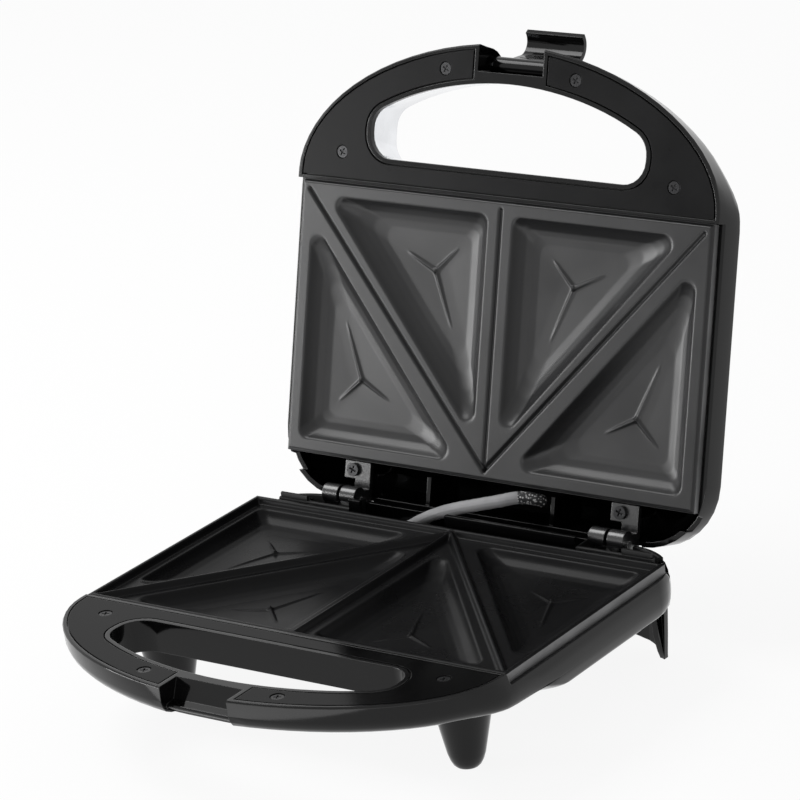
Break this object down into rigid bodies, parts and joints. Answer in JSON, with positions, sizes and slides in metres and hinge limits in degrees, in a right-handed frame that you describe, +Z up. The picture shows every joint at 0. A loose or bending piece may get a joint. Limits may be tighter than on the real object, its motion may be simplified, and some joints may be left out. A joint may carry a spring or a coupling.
{
  "type": "sandwich toaster",
  "caption": "Countertop sandwich toaster standing open: two hinged black housings with slotted handles, triangular-pocket cooking plates and a swinging latch clip.",
  "frame": {"origin": "middle of the footprint on the table, with the lid open", "axes": "+Z up, +Y from the handles to the hinges at the rear, +X to the right as the user faces it"},
  "size_m": [0.2246, 0.3054, 0.251],
  "materials": {
    "housing": "gloss black moulded phenolic",
    "cover_gloss": "gloss black",
    "cover_satin": "satin charcoal",
    "plate_black": "black non-stick coating on cast aluminium",
    "plate_grey": "charcoal non-stick coating on cast aluminium",
    "element": "heat-dulled sheath",
    "steel": "zinc plated",
    "dark_screw": "black oxide",
    "reflector": "pressed, bright",
    "ceramic": "ceramic",
    "fuse": "plain can",
    "terminal": "natural moulding",
    "rubber": "matt",
    "arm": "dark grey",
    "sleeve": "grey woven glass-fibre sleeve",
    "liner": "bright",
    "lamp": "clear bulb",
    "lens_red": "translucent red",
    "lens_green": "translucent green",
    "clip": "gloss black"
  },
  "bodies": {
    "base": {"base_housing": "housing", "base_handle_cover": "cover_gloss", "base_cover_screws": "dark_screw", "base_plate": "plate_black", "base_element": "element", "base_element_clamps": "steel", "base_reflector": "reflector", "base_plate_screws": "steel", "thermostat": "ceramic", "thermal_fuse": "fuse", "terminal_block": "terminal", "cord_gland": "rubber", "foot_pads": "rubber", "base_hinge_arms": "arm", "hinge_pins": "steel", "base_hinge_screws": "steel", "wire_sleeve": "sleeve"},
    "lid": {"lid_housing": "housing", "lid_handle_cover": "cover_satin", "lid_cover_screws": "dark_screw", "lid_slot_liner": "liner", "lid_plate": "plate_grey", "lid_element": "element", "lid_element_clamps": "steel", "lid_reflector": "reflector", "lid_plate_screws": "steel", "lid_hinge_arms": "arm", "lid_hinge_screws": "dark_screw", "indicator_lamps": "lamp", "lamp_lens_power": "lens_red", "lamp_lens_ready": "lens_green", "latch_pin": "steel"},
    "latch": {"latch_clip": "clip"}
  },
  "joints": [
    {"name": "lid_hinge", "type": "hinge", "parent": "base", "child": "lid", "pos_m": [0, 0.05783, 0.0495], "axis": [1, 0, 0], "range_deg": [0, 105.2], "deforming": ["wire_sleeve"]},
    {"name": "latch_pivot", "type": "hinge", "parent": "lid", "child": "latch", "pos_m": [0, 0.12596, 0.23886], "axis": [1, 0, 0], "range_deg": [0, 133.6]}
  ]
}
